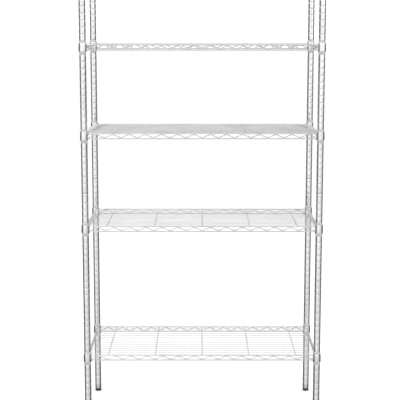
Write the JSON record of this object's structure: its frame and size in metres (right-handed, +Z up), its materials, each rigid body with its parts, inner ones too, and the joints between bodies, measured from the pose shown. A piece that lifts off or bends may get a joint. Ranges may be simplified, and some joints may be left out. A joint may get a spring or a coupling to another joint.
{
  "type": "wire shelving rack",
  "caption": "Free-standing chrome wire shelving rack with round grooved posts, wire mat shelves on split taper sleeves, zigzag edge trusses and screw-adjusted levelling feet.",
  "frame": {"origin": "on the floor, under the middle of the rack", "axes": "+Z up, X along the long side, the front faces -Y"},
  "size_m": [0.9208, 0.4126, 1.829],
  "materials": {
    "chrome_post": "bright chrome plate",
    "chrome_wire": "bright chrome plate",
    "chrome_collar": "bright chrome plate",
    "zinc_steel": "zinc plate",
    "grey_plastic": "moulded, fine texture",
    "foot_plastic": "moulded, satin",
    "pad_rubber": "matte"
  },
  "bodies": {
    "frame": {"lower_post_fl": "chrome_post", "lower_post_fr": "chrome_post", "lower_post_rl": "chrome_post", "lower_post_rr": "chrome_post", "upper_post_fl": "chrome_post", "upper_post_fr": "chrome_post", "upper_post_rl": "chrome_post", "upper_post_rr": "chrome_post", "seam_plugs": "zinc_steel", "seam_studs": "zinc_steel", "top_caps": "grey_plastic", "foot_inserts": "zinc_steel", "sleeves_1_left": "grey_plastic", "sleeves_1_right": "grey_plastic", "sleeves_2_left": "grey_plastic", "sleeves_2_right": "grey_plastic", "sleeves_3_left": "grey_plastic", "sleeves_3_right": "grey_plastic", "sleeves_4_left": "grey_plastic", "sleeves_4_right": "grey_plastic", "sleeves_5_left": "grey_plastic", "sleeves_5_right": "grey_plastic"},
    "shelf_1": {"shelf_1_collars": "chrome_collar", "shelf_1_rim_wires": "chrome_wire", "shelf_1_snake_wires": "chrome_wire", "shelf_1_cross_wires": "chrome_wire", "shelf_1_mat_wires": "chrome_wire"},
    "shelf_2": {"shelf_2_collars": "chrome_collar", "shelf_2_rim_wires": "chrome_wire", "shelf_2_snake_wires": "chrome_wire", "shelf_2_cross_wires": "chrome_wire", "shelf_2_mat_wires": "chrome_wire"},
    "shelf_3": {"shelf_3_collars": "chrome_collar", "shelf_3_rim_wires": "chrome_wire", "shelf_3_snake_wires": "chrome_wire", "shelf_3_cross_wires": "chrome_wire", "shelf_3_mat_wires": "chrome_wire"},
    "shelf_4": {"shelf_4_collars": "chrome_collar", "shelf_4_rim_wires": "chrome_wire", "shelf_4_snake_wires": "chrome_wire", "shelf_4_cross_wires": "chrome_wire", "shelf_4_mat_wires": "chrome_wire"},
    "shelf_5": {"shelf_5_collars": "chrome_collar", "shelf_5_rim_wires": "chrome_wire", "shelf_5_snake_wires": "chrome_wire", "shelf_5_cross_wires": "chrome_wire", "shelf_5_mat_wires": "chrome_wire"},
    "pad_fl": {"foot_pad_fl": "pad_rubber"},
    "bolt_fl": {"foot_head_fl": "foot_plastic", "foot_stem_fl": "zinc_steel"},
    "pad_fr": {"foot_pad_fr": "pad_rubber"},
    "bolt_fr": {"foot_head_fr": "foot_plastic", "foot_stem_fr": "zinc_steel"},
    "pad_rl": {"foot_pad_rl": "pad_rubber"},
    "bolt_rl": {"foot_head_rl": "foot_plastic", "foot_stem_rl": "zinc_steel"},
    "pad_rr": {"foot_pad_rr": "pad_rubber"},
    "bolt_rr": {"foot_head_rr": "foot_plastic", "foot_stem_rr": "zinc_steel"}
  },
  "joints": [
    {"name": "shelf_1_lift", "type": "slide", "parent": "frame", "child": "shelf_1", "axis": [0, 0, 1], "range_m": [0, 0.464]},
    {"name": "shelf_2_lift", "type": "slide", "parent": "frame", "child": "shelf_2", "axis": [0, 0, 1], "range_m": [0, 0.312]},
    {"name": "shelf_3_lift", "type": "slide", "parent": "frame", "child": "shelf_3", "axis": [0, 0, 1], "range_m": [0, 0.287]},
    {"name": "shelf_4_lift", "type": "slide", "parent": "frame", "child": "shelf_4", "axis": [0, 0, 1], "range_m": [0, 0.287]},
    {"name": "shelf_5_lift", "type": "slide", "parent": "frame", "child": "shelf_5", "axis": [0, 0, 1], "range_m": [0, 0.06]},
    {"name": "foot_fl_travel", "type": "slide", "parent": "frame", "child": "pad_fl", "axis": [0, 0, -1], "range_m": [0, 0.01411]},
    {"name": "foot_fl_turn", "type": "hinge", "parent": "pad_fl", "child": "bolt_fl", "pos_m": [-0.4445, -0.1905, 0.008], "axis": [0, 0, -1], "range_deg": [0, 3600]},
    {"name": "foot_fr_travel", "type": "slide", "parent": "frame", "child": "pad_fr", "axis": [0, 0, -1], "range_m": [0, 0.01411]},
    {"name": "foot_fr_turn", "type": "hinge", "parent": "pad_fr", "child": "bolt_fr", "pos_m": [0.4445, -0.1905, 0.008], "axis": [0, 0, -1], "range_deg": [0, 3600]},
    {"name": "foot_rl_travel", "type": "slide", "parent": "frame", "child": "pad_rl", "axis": [0, 0, -1], "range_m": [0, 0.01411]},
    {"name": "foot_rl_turn", "type": "hinge", "parent": "pad_rl", "child": "bolt_rl", "pos_m": [-0.4445, 0.1905, 0.008], "axis": [0, 0, -1], "range_deg": [0, 3600]},
    {"name": "foot_rr_travel", "type": "slide", "parent": "frame", "child": "pad_rr", "axis": [0, 0, -1], "range_m": [0, 0.01411]},
    {"name": "foot_rr_turn", "type": "hinge", "parent": "pad_rr", "child": "bolt_rr", "pos_m": [0.4445, 0.1905, 0.008], "axis": [0, 0, -1], "range_deg": [0, 3600]}
  ],
  "couplings": [
    {"joint": "foot_fl_turn", "follows": "foot_fl_travel", "rad_per_m": 4452.6},
    {"joint": "foot_fr_turn", "follows": "foot_fr_travel", "rad_per_m": 4452.6},
    {"joint": "foot_rl_turn", "follows": "foot_rl_travel", "rad_per_m": 4452.6},
    {"joint": "foot_rr_turn", "follows": "foot_rr_travel", "rad_per_m": 4452.6}
  ]
}
